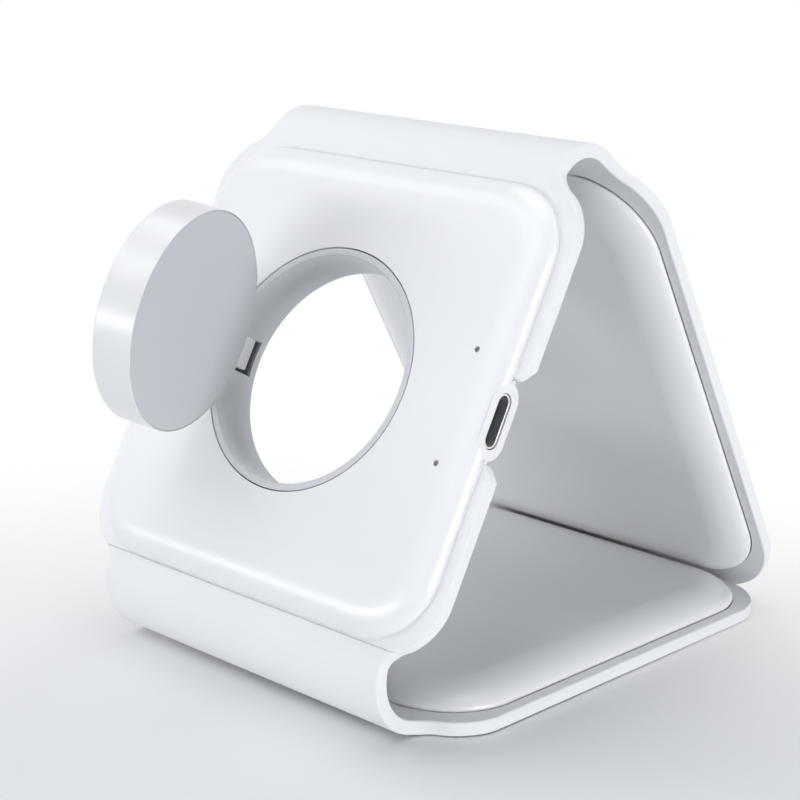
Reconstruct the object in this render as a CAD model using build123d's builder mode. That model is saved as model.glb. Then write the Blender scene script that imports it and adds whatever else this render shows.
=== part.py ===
# Folding three-in-one wireless charger, stood up as a triangle.
# Units are millimetres. X runs along the folds, Y goes back, Z is up.
# The origin is the centre of the flat underside of the base panel.
# Panels are drawn flat on their own planes: x across, y away from the fold, z off the surface.
import os
from math import cos, pi, radians, sin, sqrt

from build123d import *

# Silicone skin: one strip with three panels and two folds
panel_width = 80.0
waist_width = 64.4
skin_thickness = 2.4
front_length = 78.4
front_tilt = 63.2
rear_tilt = 56.7
lower_bend_radius = 11.1
upper_bend_radius = 9.7
shoulder_radius = 10.0
shoulder_start = -0.2
neck_radius = 5.0
base_corner_radius = 13.0
rear_corner_radius = 17.0
rest_gap = 0.3
floor_gap = 0.2

# Charging pads: pillow-edged covers that stand on the skin
pad_border = 2.25
pad_corner_radius = 14.0
pad_height = 3.6
pad_wall_height = 1.0
pillow_run = 6.0
pillow_lower_fillet = 1.3
pillow_upper_fillet = 11.0
pad_fold_inset = 0.9
wedge_room = 2.7
cover_roof = 1.1
cavity_inset = 7.0
tray_lip = 2.5
tray_thickness = 0.8
fit_gap = 0.15

# Coils, ferrite and magnets under the pads
ferrite_thickness = 0.5
coil_thickness = 0.9
coil_inner_radius = 11.0
base_coil_room = 10.75
magnet_room = 2.95
ferrite_margin = 1.5
magnet_count = 18
magnet_gap = 0.8
magnet_width = 3.5
magnet_height = 1.5

# Middle module, held through a window in the front panel
pad_top_inset = 1.7
back_border = 4.0
back_fold_inset = 2.8
back_cover_height = 3.1
back_cover_corner = 12.0
back_pillow_run = 5.0
back_wall_height = 0.9
back_lower_fillet = 1.1
back_upper_fillet = 9.0
back_roof = 1.0
window_inset = 1.0
hole_share = 0.247
ring_wall = 1.2
ring_gap = 0.2
ring_front_setback = 0.1
ring_chamfer = 0.15
flange_width = 2.4
flange_thickness = 1.2

# Watch puck and its hinge beside the hole
puck_room = 1.21
puck_thickness = 7.23
puck_open_angle = 72.65
puck_wall = 1.2
puck_edge_fillet = 0.6
puck_dish_rim = 4.05
puck_dish_depth = 0.5
lid_rim = 0.35
lid_thickness = 1.0
hinge_beside_hole = 2.08
hinge_height = 1.31
pin_radius = 0.5
pin_bore_gap = 0.04
pin_end_cover = 0.6
lug_radius = 1.6
lug_width = 5.6
slot_gap = 0.35
hinge_block_wall = 1.5
puck_coil_rim = 5.55
puck_coil_inner_radius = 6.0
puck_magnet_radius = 4.5
puck_magnet_height = 2.4

# Charging port on the right edge of the middle module
port_axis_height = -1.35
bezel_length = 12.9
bezel_width = 6.8
bezel_setback = 0.9
bezel_depth = 4.6
bezel_chamfer = 0.35
shell_length = 8.94
shell_width = 3.2
shell_wall = 0.3
shell_depth = 7.3
shell_setback = 0.25
tongue_length = 6.7
tongue_thickness = 0.7
tongue_reach = 5.0
notch_mouth = 18.6
notch_throat = 13.9
notch_fillet = 1.2
pocket_depth = 10.75
pocket_wall = 4.35
pocket_roof_height = 1.0
pocket_margin = 2.0

# Circuit board, light pipes and screws inside the middle module
board_thickness = 0.8
board_end_room = 8.4
board_gap = 0.4
board_rib_width = 1.2
board_rib_inset = 3.5
light_pipe_inset = 5.75
light_pipe_spacing = 18.7
light_pipe_radius = 0.42
light_pipe_drop = 0.45
light_pipe_gap = 0.08
chip_length = 5.0
chip_height = 2.0
chip_shares = [(0.7, 0.8, 0.4), (0.64, 1.0, 0.8), (0.78, 0.88, 1.0), (0.54, 0.6, 0.35)]
screw_side_room = 5.6
screw_post_radius = 2.2
screw_radius = 0.8
screw_head_radius = 1.6
screw_head_height = 0.9
screw_engagement = 1.6

# Where the three panels lie; the rear panel stands on the table, and the base panel ends at its inner face, the wedge
half_width = panel_width / 2
half_waist = waist_width / 2
hole_centre = front_length / 2
front_along = Vector(0, cos(radians(front_tilt)), sin(radians(front_tilt)))
front_out = Vector(0, -sin(radians(front_tilt)), cos(radians(front_tilt)))
rear_out = Vector(0, sin(radians(rear_tilt)), cos(radians(rear_tilt)))
foot_from_fold = Vector(0, 0, lower_bend_radius) + front_out * lower_bend_radius
axis_from_fold = foot_from_fold + front_along * front_length - front_out * upper_bend_radius
inside_from_fold = axis_from_fold + rear_out * (upper_bend_radius - skin_thickness)
wedge_run = (inside_from_fold.Z - skin_thickness) / sin(radians(rear_tilt))
wedge_from_fold = inside_from_fold.Y + wedge_run * cos(radians(rear_tilt))
rear_length = (inside_from_fold.Z - floor_gap) / sin(radians(rear_tilt))
base_length = wedge_from_fold - rest_gap / sin(radians(rear_tilt))
fold_y = -base_length / 2
fold_point = Vector(0, fold_y, 0)
front_foot = fold_point + foot_from_fold
front_top = front_foot + front_along * front_length
upper_axis = fold_point + axis_from_fold
rear_top = upper_axis + rear_out * upper_bend_radius
lower_sweep = 180 - front_tilt
upper_sweep = front_tilt + rear_tilt

base_plane = Plane(origin=fold_point, x_dir=(-1, 0, 0), z_dir=(0, 0, -1))
base_inside = Plane(origin=(0, fold_y, skin_thickness), x_dir=(1, 0, 0), z_dir=(0, 0, 1))
front_plane = Plane(origin=front_foot, x_dir=(1, 0, 0), z_dir=front_out)
front_top_plane = Plane(origin=front_top, x_dir=(-1, 0, 0), z_dir=front_out)
rear_plane = Plane(origin=rear_top, x_dir=(1, 0, 0), z_dir=rear_out)
rear_inside = Plane(origin=fold_point + inside_from_fold, x_dir=(-1, 0, 0), z_dir=-rear_out)
hole_point = front_foot + front_along * hole_centre
hole_plane = Plane(origin=hole_point, x_dir=(1, 0, 0), z_dir=front_out)

# Sizes of the pads and the necks beside the folds
pad_width = panel_width - 2 * pad_border
half_pad = pad_width / 2
cavity_width = pad_width - 2 * cavity_inset
base_pad_length = wedge_from_fold - wedge_room - pad_fold_inset
rear_pad_length = wedge_run - wedge_room - pad_fold_inset
front_pad_length = front_length - pad_fold_inset - pad_top_inset
base_coil_radius = cavity_width / 2 - base_coil_room
rear_coil_radius = cavity_width / 2 - magnet_room - magnet_width - magnet_gap - ferrite_margin
shoulder_centre = shoulder_start + shoulder_radius
neck_shift = half_waist + neck_radius - (half_width - shoulder_radius)
neck_centre = shoulder_centre - sqrt((neck_radius + shoulder_radius) ** 2 - neck_shift**2)
neck_share = shoulder_radius / (neck_radius + shoulder_radius)
neck_join = (
    half_width - shoulder_radius + neck_shift * neck_share,
    shoulder_centre + (neck_centre - shoulder_centre) * neck_share,
)
cut_margin = 5.0
near = 1e-3


def neck_sketch(plane):
    """Waste on both sides of the fold, from the panel's shoulder to the narrow waist."""
    reach = -2 * max(lower_bend_radius, upper_bend_radius)
    outer = half_width + cut_margin
    with BuildSketch(plane) as waste:
        with BuildLine():
            shoulder = TangentArc((half_width, shoulder_centre), neck_join, tangent=(0, -1))
            neck = TangentArc(shoulder @ 1, (half_waist, neck_centre), tangent=shoulder % 1)
            Polyline(neck @ 1, (half_waist, reach), (outer, reach), (outer, shoulder_centre), shoulder @ 0)
        make_face()
        mirror(about=Plane.YZ)
    return waste.sketch


def end_panel(plane, length, corner_radius):
    """Flat skin panel with a neck at its fold and two round corners at its free end."""
    with BuildPart() as panel:
        with BuildSketch(plane):
            with Locations((0, length / 2)):
                Rectangle(panel_width, length)
        extrude(amount=-skin_thickness)
        corners = panel.edges().filter_by(Axis((0, 0, 0), plane.z_dir)).sort_by(Axis(plane.origin, plane.y_dir))
        fillet(corners[-2:], corner_radius)
        extrude(neck_sketch(plane), amount=2 * skin_thickness, both=True, mode=Mode.SUBTRACT)
    return panel.part


def half_bend(plane, radius, sweep):
    """Half of a fold, from the panel's edge to the middle of the bend."""
    side = Plane(plane.origin, x_dir=plane.y_dir, z_dir=plane.x_dir)
    with BuildPart() as bend:
        with BuildSketch(side):
            with BuildLine():
                outer = CenterArc((0, -radius), radius, 90, sweep)
                inner = CenterArc((0, -radius), radius - skin_thickness, 90, sweep)
                Line(outer @ 0, inner @ 0)
                Line(outer @ 1, inner @ 1)
            make_face()
        extrude(amount=half_width, both=True)
        extrude(neck_sketch(plane), amount=2 * radius, both=True, mode=Mode.SUBTRACT)
    return bend.part


def pillow(plane, width, length, corner, start, height, wall, run, lower_fillet, upper_fillet):
    """Solid pad with a short wall, a sloping shoulder and soft edges."""
    with BuildPart() as pad:
        with BuildSketch(plane):
            with Locations((0, start + length / 2)):
                RectangleRounded(width, length, corner)
        extrude(amount=wall)
        with BuildSketch(plane.offset(wall)):
            with Locations((0, start + length / 2)):
                RectangleRounded(width, length, corner)
        with BuildSketch(plane.offset(height)):
            with Locations((0, start + length / 2)):
                RectangleRounded(width - 2 * run, length - 2 * run, corner - run)
        loft(ruled=True)
        roof = pad.faces().sort_by(Axis(plane.origin, plane.z_dir))[-1]
        fillet(roof.edges(), upper_fillet)
        wall_tops = [edge for edge in pad.edges() if abs(plane.to_local_coords(edge.center()).Z - wall) < near]
        fillet(wall_tops, lower_fillet)
    return pad.part


def end_cover(plane, length):
    """Cover of an end pad: a pillow, hollow below, with a step for its tray."""
    solid = pillow(
        plane, pad_width, length, pad_corner_radius, pad_fold_inset, pad_height,
        pad_wall_height, pillow_run, pillow_lower_fillet, pillow_upper_fillet,
    )
    middle = pad_fold_inset + length / 2
    tray_inset = cavity_inset - tray_lip
    with BuildPart() as cover:
        add(solid)
        with BuildSketch(plane):
            with Locations((0, middle)):
                RectangleRounded(pad_width - 2 * tray_inset, length - 2 * tray_inset, pad_corner_radius - tray_inset)
        extrude(amount=tray_thickness, mode=Mode.SUBTRACT)
        with BuildSketch(plane):
            with Locations((0, middle)):
                RectangleRounded(
                    pad_width - 2 * cavity_inset, length - 2 * cavity_inset, pad_corner_radius - cavity_inset
                )
        extrude(amount=pad_height - cover_roof, mode=Mode.SUBTRACT)
    return cover.part


def end_tray(plane, length):
    """Plate that closes the underside of an end pad."""
    inset = cavity_inset - tray_lip + fit_gap
    with BuildPart() as tray:
        with BuildSketch(plane):
            with Locations((0, pad_fold_inset + length / 2)):
                RectangleRounded(pad_width - 2 * inset, length - 2 * inset, pad_corner_radius - inset)
        extrude(amount=tray_thickness)
    return tray.part


def ferrite_sheet(plane, length, coil_radius):
    """Round ferrite sheet that lies on the tray under a coil."""
    with BuildPart() as sheet:
        with BuildSketch(plane.offset(tray_thickness)):
            with Locations((0, pad_fold_inset + length / 2)):
                Circle(coil_radius + ferrite_margin)
        extrude(amount=ferrite_thickness)
    return sheet.part


def flat_coil(plane, length, coil_radius):
    """Flat wound coil, as one ring on the ferrite sheet."""
    with BuildPart() as coil:
        with BuildSketch(plane.offset(tray_thickness + ferrite_thickness)):
            with Locations((0, pad_fold_inset + length / 2)):
                Circle(coil_radius)
                Circle(coil_inner_radius, mode=Mode.SUBTRACT)
        extrude(amount=coil_thickness)
    return coil.part


def stadium(plane, length, width, start, stop):
    """Round-ended bar between two heights above a plane."""
    with BuildPart() as bar:
        with BuildSketch(plane.offset(start)):
            SlotOverall(length, width)
        extrude(amount=stop - start)
    return bar.part


def save(part, name):
    """Label a finished piece and write it as a STEP file."""
    part.label = name
    export_step(part, f"parts/{name}.step")


os.makedirs("parts", exist_ok=True)

# Skin panels
save(end_panel(base_plane, base_length, base_corner_radius), "skin_base")
save(end_panel(rear_plane, rear_length, rear_corner_radius), "skin_rear")

# Folds
with BuildPart() as lower_bend:
    add(half_bend(base_plane, lower_bend_radius, lower_sweep / 2))
    add(half_bend(front_plane, lower_bend_radius, lower_sweep / 2))
save(lower_bend.part, "lower_bend")

with BuildPart() as upper_bend:
    add(half_bend(front_top_plane, upper_bend_radius, upper_sweep / 2))
    add(half_bend(rear_plane, upper_bend_radius, upper_sweep / 2))
save(upper_bend.part, "upper_bend")

# End pads
for pad_name, pad_plane, pad_length, coil_radius in (
    ("base", base_inside, base_pad_length, base_coil_radius),
    ("rear", rear_inside, rear_pad_length, rear_coil_radius),
):
    save(end_cover(pad_plane, pad_length), f"{pad_name}_cover")
    save(end_tray(pad_plane, pad_length), f"{pad_name}_tray")
    save(ferrite_sheet(pad_plane, pad_length, coil_radius), f"{pad_name}_ferrite")
    save(flat_coil(pad_plane, pad_length, coil_radius), f"{pad_name}_coil")

# Ring of magnets round the phone coil in the rear pad
magnet_middle = rear_coil_radius + ferrite_margin + magnet_gap + magnet_width / 2
magnet_length = 2 * pi * magnet_middle / magnet_count - magnet_gap
with BuildPart() as rear_magnets:
    with BuildSketch(rear_inside.offset(tray_thickness)):
        with Locations((0, pad_fold_inset + rear_pad_length / 2)):
            with PolarLocations(magnet_middle, magnet_count):
                Rectangle(magnet_width, magnet_length)
    extrude(amount=magnet_height)
save(rear_magnets.part, "rear_magnets")

# Sizes shared by the pieces of the middle module
front_middle = pad_fold_inset + front_pad_length / 2
module_plane = Plane(front_foot + front_along * front_middle, x_dir=(1, 0, 0), z_dir=front_out)
cavity_length = front_pad_length - 2 * cavity_inset
cavity_corner = pad_corner_radius - cavity_inset
window_width = cavity_width - 2 * window_inset
window_length = cavity_length - 2 * window_inset
window_corner = cavity_corner - window_inset
roof_under = pad_height - cover_roof
back_cover_width = panel_width - 2 * back_border
back_cover_length = 2 * (front_middle - back_fold_inset)
back_face = -(skin_thickness + back_cover_height)
back_floor = back_face + back_roof
ring_inner_radius = hole_share * panel_width
ring_outer_radius = ring_inner_radius + ring_wall
hole_radius = ring_outer_radius + ring_gap
puck_radius = ring_inner_radius - puck_room
hinge_out = ring_inner_radius + hinge_beside_hole
puck_back = pad_height - puck_thickness
slot_floor = puck_back - slot_gap
slot_outer = hinge_out + lug_radius + slot_gap
slot_width = lug_width + 2 * slot_gap
block_length = slot_width + 2 * hinge_block_wall
pocket_length = light_pipe_spacing + 2 * pocket_margin
bezel_face = half_pad - bezel_setback
port_plane = Plane(
    hole_point + Vector(bezel_face, 0, 0) + front_out * port_axis_height,
    x_dir=front_along,
    z_dir=(1, 0, 0),
)
board_inner_edge = ring_outer_radius + flange_width + board_gap
board_outer_edge = window_width / 2 - board_gap
board_middle = (board_inner_edge + board_outer_edge) / 2
board_width = board_outer_edge - board_inner_edge
board_length = window_length - 2 * board_end_room
board_top = port_axis_height - shell_width / 2
board_bottom = board_top - board_thickness
bezel_cut = stadium(
    port_plane, bezel_length + 2 * fit_gap, bezel_width + 2 * fit_gap, -bezel_depth - fit_gap, cut_margin
)


def block(plane, x_range, y_range, z_range):
    """Rectangular block between limits measured on a plane."""
    with BuildPart() as solid:
        with BuildSketch(plane.offset(z_range[0])):
            with Locations(((x_range[0] + x_range[1]) / 2, (y_range[0] + y_range[1]) / 2)):
                Rectangle(x_range[1] - x_range[0], y_range[1] - y_range[0])
        extrude(amount=z_range[1] - z_range[0])
    return solid.part


light_pipe_spots = [(half_pad - light_pipe_inset, side * light_pipe_spacing / 2) for side in (-1, 1)]
port_pocket = block(
    hole_plane,
    (half_pad - pocket_depth, half_pad - pocket_wall),
    (-pocket_length / 2, pocket_length / 2),
    (board_bottom - fit_gap, pocket_roof_height),
)
hinge_slot = block(
    hole_plane,
    (-slot_outer, -ring_inner_radius + ring_wall),
    (-slot_width / 2, slot_width / 2),
    (slot_floor, pad_height + cut_margin),
)

# Front panel of the skin, with a window for the module and a notch for the port
with BuildPart() as skin_front:
    with BuildSketch(front_plane):
        with Locations((0, front_length / 2)):
            Rectangle(panel_width, front_length)
    extrude(amount=-skin_thickness)
    extrude(neck_sketch(front_plane), amount=2 * skin_thickness, both=True, mode=Mode.SUBTRACT)
    extrude(neck_sketch(front_top_plane), amount=2 * skin_thickness, both=True, mode=Mode.SUBTRACT)
    with BuildSketch(module_plane):
        RectangleRounded(window_width, window_length, window_corner)
    extrude(amount=-skin_thickness, mode=Mode.SUBTRACT)
    add(port_pocket, mode=Mode.SUBTRACT)
    with BuildSketch(hole_plane) as notch:
        with BuildLine():
            Polyline(
                (half_pad - pocket_depth, -notch_throat / 2),
                (half_width - pad_border, -notch_throat / 2),
                (half_width, -notch_mouth / 2),
                (half_width + cut_margin, -notch_mouth / 2),
                (half_width + cut_margin, notch_mouth / 2),
                (half_width, notch_mouth / 2),
                (half_width - pad_border, notch_throat / 2),
                (half_pad - pocket_depth, notch_throat / 2),
                close=True,
            )
        make_face()
        bends = [spot for spot in notch.vertices() if half_width - pad_border - near < spot.X < half_width + near]
        fillet(bends, notch_fillet)
    extrude(amount=-skin_thickness, mode=Mode.SUBTRACT)
save(skin_front.part, "skin_front")

# Front cover of the module
post_x = cavity_width / 2 - screw_side_room
post_y = cavity_length / 2 - screw_side_room
post_spots = [(x, y) for x in (-post_x, post_x) for y in (-post_y, post_y)]
with BuildPart() as front_cover:
    add(
        pillow(
            front_plane, pad_width, front_pad_length, pad_corner_radius, pad_fold_inset, pad_height,
            pad_wall_height, pillow_run, pillow_lower_fillet, pillow_upper_fillet,
        )
    )
    with BuildSketch(module_plane):
        RectangleRounded(cavity_width, cavity_length, cavity_corner)
    extrude(amount=roof_under, mode=Mode.SUBTRACT)
    with BuildSketch(module_plane):
        with Locations(*post_spots):
            Circle(screw_post_radius)
    extrude(amount=roof_under)
    with BuildSketch(module_plane):
        with Locations(*post_spots):
            Circle(screw_radius + pin_bore_gap)
    extrude(amount=screw_engagement + fit_gap, mode=Mode.SUBTRACT)
    with BuildSketch(hole_plane):
        Circle(hole_radius)
    extrude(amount=pad_height, mode=Mode.SUBTRACT)
    with BuildSketch(hole_plane):
        with Locations(*light_pipe_spots):
            Circle(light_pipe_radius + light_pipe_gap)
    extrude(amount=pad_height, mode=Mode.SUBTRACT)
    add(port_pocket, mode=Mode.SUBTRACT)
    add(bezel_cut, mode=Mode.SUBTRACT)
    add(hinge_slot, mode=Mode.SUBTRACT)
save(front_cover.part, "front_cover")

# Back cover of the module, inside the triangle
front_inside = Plane(front_foot - front_out * skin_thickness, x_dir=(-1, 0, 0), z_dir=-front_out)
with BuildPart() as back_cover:
    add(
        pillow(
            front_inside, back_cover_width, back_cover_length, back_cover_corner, back_fold_inset,
            back_cover_height, back_wall_height, back_pillow_run, back_lower_fillet, back_upper_fillet,
        )
    )
    with BuildSketch(module_plane.offset(back_floor)):
        RectangleRounded(window_width, window_length, window_corner)
    extrude(amount=-back_floor - skin_thickness, mode=Mode.SUBTRACT)
    with BuildSketch(module_plane.offset(back_floor)):
        with Locations(*post_spots):
            Circle(screw_post_radius)
    extrude(amount=-back_floor)
    with BuildSketch(hole_plane.offset(back_floor)):
        with Locations(*[(board_middle, side * (board_length / 2 - board_rib_inset)) for side in (-1, 1)]):
            Rectangle(board_width, board_rib_width)
    extrude(amount=board_bottom - back_floor)
    with BuildSketch(module_plane.offset(back_face)):
        with Locations(*post_spots):
            Circle(screw_radius + pin_bore_gap)
    extrude(amount=-back_face, mode=Mode.SUBTRACT)
    with BuildSketch(module_plane.offset(back_face)):
        with Locations(*post_spots):
            Circle(screw_head_radius + fit_gap)
    extrude(amount=screw_head_height, mode=Mode.SUBTRACT)
    with BuildSketch(hole_plane.offset(back_face)):
        Circle(hole_radius)
    extrude(amount=-back_face, mode=Mode.SUBTRACT)
    add(port_pocket, mode=Mode.SUBTRACT)
    add(bezel_cut, mode=Mode.SUBTRACT)
save(back_cover.part, "back_cover")

# Hinge axis beside the hole, along the slope of the panel
hinge_point = hole_point - Vector(hinge_out, 0, 0) + front_out * hinge_height
pin_length = block_length - pin_end_cover
pin_plane = Plane(hinge_point - front_along * (block_length / 2), x_dir=(1, 0, 0), z_dir=front_along)


def on_slot_floor(edge):
    """True for an edge that lies on the floor of the hinge slot."""
    return abs(hole_plane.to_local_coords(edge.center()).Z - slot_floor) < near


# Ring that lines the hole, with a flange under the cover and the hinge block
with BuildPart() as ring_liner:
    with BuildSketch(hole_plane.offset(back_face)):
        Circle(ring_outer_radius)
    extrude(amount=pad_height - ring_front_setback - back_face)
    with BuildSketch(hole_plane.offset(roof_under - flange_thickness)):
        Circle(ring_outer_radius + flange_width)
    extrude(amount=flange_thickness)
    add(
        block(
            hole_plane,
            (-slot_outer - hinge_block_wall, -ring_inner_radius),
            (-block_length / 2, block_length / 2),
            (back_floor, roof_under),
        )
    )
    with BuildSketch(hole_plane.offset(back_face)):
        Circle(ring_inner_radius)
    extrude(amount=pad_height - back_face, mode=Mode.SUBTRACT)
    add(hinge_slot, mode=Mode.SUBTRACT)
    with BuildSketch(pin_plane):
        Circle(pin_radius + pin_bore_gap)
    extrude(amount=pin_length, mode=Mode.SUBTRACT)
    rims = ring_liner.edges().filter_by(GeomType.CIRCLE)
    rims = [rim for rim in rims if abs(rim.radius - ring_inner_radius) < near and not on_slot_floor(rim)]
    chamfer(rims, ring_chamfer)
save(ring_liner.part, "ring_liner")

with BuildPart() as hinge_pin:
    with BuildSketch(pin_plane):
        Circle(pin_radius)
    extrude(amount=pin_length)
save(hinge_pin.part, "hinge_pin")

# Watch puck, swung out of the hole; its plane has the hinge axis as origin
turn = radians(puck_open_angle)
puck_across = Vector(1, 0, 0) * cos(turn) + front_out * sin(turn)
puck_out = front_out * cos(turn) - Vector(1, 0, 0) * sin(turn)
puck_plane = Plane(hinge_point, x_dir=puck_across, z_dir=puck_out)
lid_face = puck_back - hinge_height
charge_face = lid_face + puck_thickness
inner_face = charge_face - puck_wall
puck_dish_radius = puck_radius - puck_dish_rim
puck_coil_radius = puck_radius - puck_coil_rim
dish_sphere_radius = (puck_dish_radius**2 + puck_dish_depth**2) / (2 * puck_dish_depth)
lug_root = hinge_out - puck_radius + puck_wall / 2


def puck_disc(radius, start, stop, bore=0.0):
    """Disc on the puck's own axis between two heights, with an optional bore."""
    with BuildPart() as disc:
        with BuildSketch(puck_plane.offset(start)):
            with Locations((hinge_out, 0)):
                Circle(radius)
                if bore:
                    Circle(bore, mode=Mode.SUBTRACT)
        extrude(amount=stop - start)
    return disc.part


with BuildPart() as puck_shell:
    add(puck_disc(puck_radius, lid_face, charge_face))
    face_edges = puck_shell.edges().sort_by(Axis(hinge_point, puck_out))
    fillet(face_edges[-1], puck_edge_fillet)
    with Locations(puck_plane):
        with Locations((hinge_out, 0, charge_face - puck_dish_depth + dish_sphere_radius)):
            Sphere(dish_sphere_radius, mode=Mode.SUBTRACT)
    with BuildSketch(Plane(hinge_point, x_dir=puck_across, z_dir=-front_along)):
        Circle(lug_radius)
        with Locations((lug_root / 2, (lug_radius + lid_face) / 2)):
            Rectangle(lug_root, lug_radius - lid_face)
    extrude(amount=lug_width / 2, both=True)
    with BuildSketch(pin_plane):
        Circle(pin_radius + pin_bore_gap)
    extrude(amount=block_length, mode=Mode.SUBTRACT)
    add(puck_disc(puck_radius - lid_rim, lid_face, lid_face + lid_thickness), mode=Mode.SUBTRACT)
    add(puck_disc(puck_radius - puck_wall, lid_face, inner_face), mode=Mode.SUBTRACT)
save(puck_shell.part, "puck_shell")

save(puck_disc(puck_radius - lid_rim - fit_gap, lid_face, lid_face + lid_thickness), "puck_lid")
save(puck_disc(puck_coil_radius, inner_face - coil_thickness, inner_face, puck_coil_inner_radius), "puck_coil")
save(
    puck_disc(
        puck_coil_radius + ferrite_margin,
        inner_face - coil_thickness - ferrite_thickness,
        inner_face - coil_thickness,
        puck_coil_inner_radius,
    ),
    "puck_ferrite",
)
save(puck_disc(puck_magnet_radius, inner_face - puck_magnet_height, inner_face), "puck_magnet")

# Charging port: bezel, metal shell and contact tongue
with BuildPart() as port_bezel:
    add(stadium(port_plane, bezel_length, bezel_width, -bezel_depth, 0))
    chamfer(port_bezel.faces().sort_by(Axis.X)[-1].edges(), bezel_chamfer)
    add(
        stadium(port_plane, shell_length + 2 * fit_gap, shell_width + 2 * fit_gap, -bezel_depth, 0),
        mode=Mode.SUBTRACT,
    )
save(port_bezel.part, "port_bezel")

shell_back = -shell_setback - shell_depth
with BuildPart() as port_shell:
    add(stadium(port_plane, shell_length, shell_width, shell_back, -shell_setback))
    add(
        stadium(
            port_plane, shell_length - 2 * shell_wall, shell_width - 2 * shell_wall,
            shell_back + shell_wall, -shell_setback,
        ),
        mode=Mode.SUBTRACT,
    )
save(port_shell.part, "port_shell")

with BuildPart() as port_tongue:
    with BuildSketch(port_plane.offset(shell_back + shell_wall)):
        Rectangle(tongue_length, tongue_thickness)
    extrude(amount=tongue_reach)
save(port_tongue.part, "port_tongue")

# Circuit board with its chips, notched round the port's bezel
board_tab_edge = half_pad - pocket_wall - board_gap
board_tab_length = pocket_length - 2 * board_gap
board_notch_edge = bezel_face - bezel_depth - board_gap
with BuildPart() as main_board:
    with BuildSketch(hole_plane.offset(board_bottom)):
        with Locations((board_middle, 0)):
            Rectangle(board_width, board_length)
        with Locations(((board_inner_edge + board_tab_edge) / 2, 0)):
            Rectangle(board_tab_edge - board_inner_edge, board_tab_length)
        with Locations(((board_notch_edge + board_tab_edge) / 2, 0)):
            Rectangle(board_tab_edge - board_notch_edge, bezel_length + 2 * board_gap, mode=Mode.SUBTRACT)
    extrude(amount=board_thickness)
save(main_board.part, "main_board")

chip_pitch = board_length / len(chip_shares)
first_chip = (chip_pitch - board_length) / 2
with BuildPart() as board_chips:
    for place, (width_share, length_share, height_share) in enumerate(chip_shares):
        with BuildSketch(hole_plane.offset(board_top)):
            with Locations((board_middle, first_chip + place * chip_pitch)):
                Rectangle(board_width * width_share, chip_length * length_share)
        extrude(amount=chip_height * height_share)
save(board_chips.part, "board_chips")

# Two light pipes from the board to the face of the cover
with BuildPart() as light_pipes:
    with BuildSketch(hole_plane.offset(board_top)):
        with Locations(*light_pipe_spots):
            Circle(light_pipe_radius)
    extrude(amount=pad_height - light_pipe_drop - board_top)
save(light_pipes.part, "light_pipes")

# Four screws that clamp the two covers over the skin
with BuildPart() as case_screws:
    with BuildSketch(module_plane.offset(back_face)):
        with Locations(*post_spots):
            Circle(screw_head_radius)
    extrude(amount=screw_head_height)
    with BuildSketch(module_plane.offset(back_face)):
        with Locations(*post_spots):
            Circle(screw_radius)
    extrude(amount=screw_engagement - back_face)
save(case_screws.part, "case_screws")
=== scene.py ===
"""Looks of the folding wireless charger: soft skin, pillow pads, lined hole, watch puck and charging port."""
import logging
import math
from collections.abc import Callable, Iterable, Sequence
from dataclasses import dataclass, field
from enum import Enum

import bmesh
import bpy
from mathutils import Matrix, Vector


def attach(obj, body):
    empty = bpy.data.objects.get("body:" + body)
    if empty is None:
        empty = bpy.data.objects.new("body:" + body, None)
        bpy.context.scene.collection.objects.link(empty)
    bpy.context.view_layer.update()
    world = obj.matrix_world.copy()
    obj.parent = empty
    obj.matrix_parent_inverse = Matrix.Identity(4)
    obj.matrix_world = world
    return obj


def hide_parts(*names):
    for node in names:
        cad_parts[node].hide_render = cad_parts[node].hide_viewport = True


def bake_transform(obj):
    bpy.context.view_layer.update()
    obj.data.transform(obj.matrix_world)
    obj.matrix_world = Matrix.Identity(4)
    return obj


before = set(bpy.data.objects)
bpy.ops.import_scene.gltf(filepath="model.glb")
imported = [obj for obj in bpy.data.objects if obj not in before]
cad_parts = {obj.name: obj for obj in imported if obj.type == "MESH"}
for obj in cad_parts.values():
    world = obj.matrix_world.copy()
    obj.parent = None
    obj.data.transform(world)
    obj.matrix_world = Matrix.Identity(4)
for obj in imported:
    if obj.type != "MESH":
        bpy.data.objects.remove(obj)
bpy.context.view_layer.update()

LOG = logging.getLogger("charger")
MM = 0.001
NEAR = 1e-3
SHARP = 50.0


class Body(str, Enum):
    """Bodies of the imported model."""

    BASE = "base_panel"
    FRONT = "front_panel"
    REAR = "rear_panel"
    PUCK = "puck"


class Cut(str, Enum):
    """Ways to combine a piece with a tool shape."""

    REMOVE = "DIFFERENCE"
    JOIN = "UNION"


# Finishes


class Finish:
    """Base of the finishes: a node material on Object coordinates."""

    name: str

    def start(self) -> tuple[bpy.types.Material, bpy.types.Node, Callable[..., bpy.types.Node]]:
        """Make an empty node material.

        Returns:
            The material, its shader node and a function that adds a node.
        """
        material = bpy.data.materials.new(self.name)
        material.use_nodes = True
        tree = material.node_tree
        shader = tree.nodes["Principled BSDF"]

        def add(kind: str, **inputs: object) -> bpy.types.Node:
            """Add a node and link or set its inputs by name."""
            node = tree.nodes.new(kind)
            for key, value in inputs.items():
                socket = node.inputs[key.replace("_", " ")]
                if isinstance(value, bpy.types.NodeSocket):
                    tree.links.new(value, socket)
                else:
                    socket.default_value = value
            return node

        return material, shader, add

    def material(self) -> bpy.types.Material:
        """Build the material once and return it."""
        found = bpy.data.materials.get(self.name)
        return found or self.make()

    def make(self) -> bpy.types.Material:
        """Build the node tree."""
        raise NotImplementedError


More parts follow.
